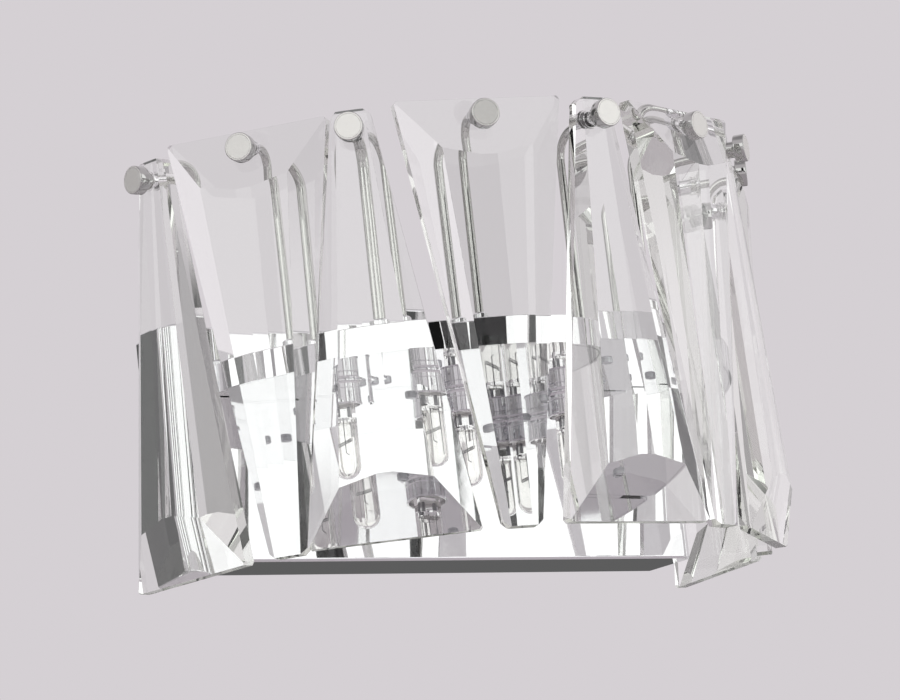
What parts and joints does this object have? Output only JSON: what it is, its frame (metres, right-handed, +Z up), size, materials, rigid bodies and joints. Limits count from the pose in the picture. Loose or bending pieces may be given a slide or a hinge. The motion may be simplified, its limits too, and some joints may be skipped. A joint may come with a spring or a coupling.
{
  "type": "crystal wall sconce",
  "caption": "Chrome wall sconce with a half ring of tapered faceted crystals hung on bent rods above a half-moon lamp deck and a box backplate.",
  "frame": {"origin": "middle of the wall bracket's rear face, on the wall", "axes": "+Z up, -Y away from the wall towards the room, +X to the right seen from the room"},
  "size_m": [0.3346, 0.201, 0.2],
  "materials": {
    "crystal": "polished clear crystal, faceted",
    "clear_plastic": "clear nylon",
    "chrome": "mirror polished chrome plate",
    "ceramic": "glazed white ceramic",
    "pin_wire": "nickel wire",
    "bulb_glass": "clear lamp glass",
    "zinc_steel": "zinc plated steel",
    "brass": "plain brass",
    "terminal_plastic": "white moulded plastic",
    "rubber": "black moulded rubber",
    "lead_insulation": "white silicone sleeve"
  },
  "bodies": {
    "body": {"wall_bracket": "zinc_steel", "backplate_housing": "chrome", "housing_screws": "chrome", "deck_shell": "chrome", "deck_floor": "chrome", "deck_floor_screws": "zinc_steel", "deck_fixing_screws": "zinc_steel", "deck_fixing_nuts": "zinc_steel", "foot_collars": "chrome", "foot_nuts": "zinc_steel", "pin_collars": "chrome", "clear_washers": "clear_plastic", "knobs": "chrome", "rod_1": "chrome", "rod_2": "chrome", "rod_3": "chrome", "rod_4": "chrome", "rod_5": "chrome", "rod_6": "chrome", "rod_7": "chrome", "rod_8": "chrome", "rod_9": "chrome", "lamp_holder_1": "ceramic", "lamp_holder_2": "ceramic", "lamp_holder_3": "ceramic", "bulb_1": "bulb_glass", "bulb_2": "bulb_glass", "bulb_3": "bulb_glass", "bulb_pins": "pin_wire", "holder_screws": "zinc_steel", "terminal_block": "terminal_plastic", "earth_screw": "brass", "inlet_grommet": "rubber", "lamp_leads": "lead_insulation", "lead_bush": "rubber"},
    "hanging_crystal_1": {"crystal_1": "crystal", "sleeve_1": "clear_plastic"},
    "hanging_crystal_2": {"crystal_2": "crystal", "sleeve_2": "clear_plastic"},
    "hanging_crystal_3": {"crystal_3": "crystal", "sleeve_3": "clear_plastic"},
    "hanging_crystal_4": {"crystal_4": "crystal", "sleeve_4": "clear_plastic"},
    "hanging_crystal_5": {"crystal_5": "crystal", "sleeve_5": "clear_plastic"},
    "hanging_crystal_6": {"crystal_6": "crystal", "sleeve_6": "clear_plastic"},
    "hanging_crystal_7": {"crystal_7": "crystal", "sleeve_7": "clear_plastic"},
    "hanging_crystal_8": {"crystal_8": "crystal", "sleeve_8": "clear_plastic"},
    "hanging_crystal_9": {"crystal_9": "crystal", "sleeve_9": "clear_plastic"}
  },
  "joints": [
    {"name": "crystal_1_swing", "type": "hinge", "parent": "body", "child": "hanging_crystal_1", "pos_m": [-0.15458, -0.04535, 0.1238], "axis": [-0.9903, -0.1392, 0], "range_deg": [-1, 1.2]},
    {"name": "crystal_2_swing", "type": "hinge", "parent": "body", "child": "hanging_crystal_2", "pos_m": [-0.13786, -0.10485, 0.1238], "axis": [-0.7986, -0.6018, 0], "range_deg": [-1.2, 0.15]},
    {"name": "crystal_3_swing", "type": "hinge", "parent": "body", "child": "hanging_crystal_3", "pos_m": [-0.10689, -0.14625, 0.1238], "axis": [-0.6428, -0.766, 0], "range_deg": [-0.15, 1]},
    {"name": "crystal_4_swing", "type": "hinge", "parent": "body", "child": "hanging_crystal_4", "pos_m": [-0.05756, -0.17791, 0.1238], "axis": [-0.309, -0.9511, 0], "range_deg": [-1, 1]},
    {"name": "crystal_5_swing", "type": "hinge", "parent": "body", "child": "hanging_crystal_5", "pos_m": [0, -0.189, 0.1238], "axis": [0, -1, 0], "range_deg": [-1, 1]},
    {"name": "crystal_6_swing", "type": "hinge", "parent": "body", "child": "hanging_crystal_6", "pos_m": [0.05756, -0.17791, 0.1238], "axis": [0.309, -0.9511, 0], "range_deg": [-1, 1]},
    {"name": "crystal_7_swing", "type": "hinge", "parent": "body", "child": "hanging_crystal_7", "pos_m": [0.10689, -0.14625, 0.1238], "axis": [0.6428, -0.766, 0], "range_deg": [-1, 0.15]},
    {"name": "crystal_8_swing", "type": "hinge", "parent": "body", "child": "hanging_crystal_8", "pos_m": [0.13786, -0.10485, 0.1238], "axis": [0.7986, -0.6018, 0], "range_deg": [-0.15, 1.2]},
    {"name": "crystal_9_swing", "type": "hinge", "parent": "body", "child": "hanging_crystal_9", "pos_m": [0.15458, -0.04535, 0.1238], "axis": [0.9903, -0.1392, 0], "range_deg": [-1.2, 1]}
  ]
}
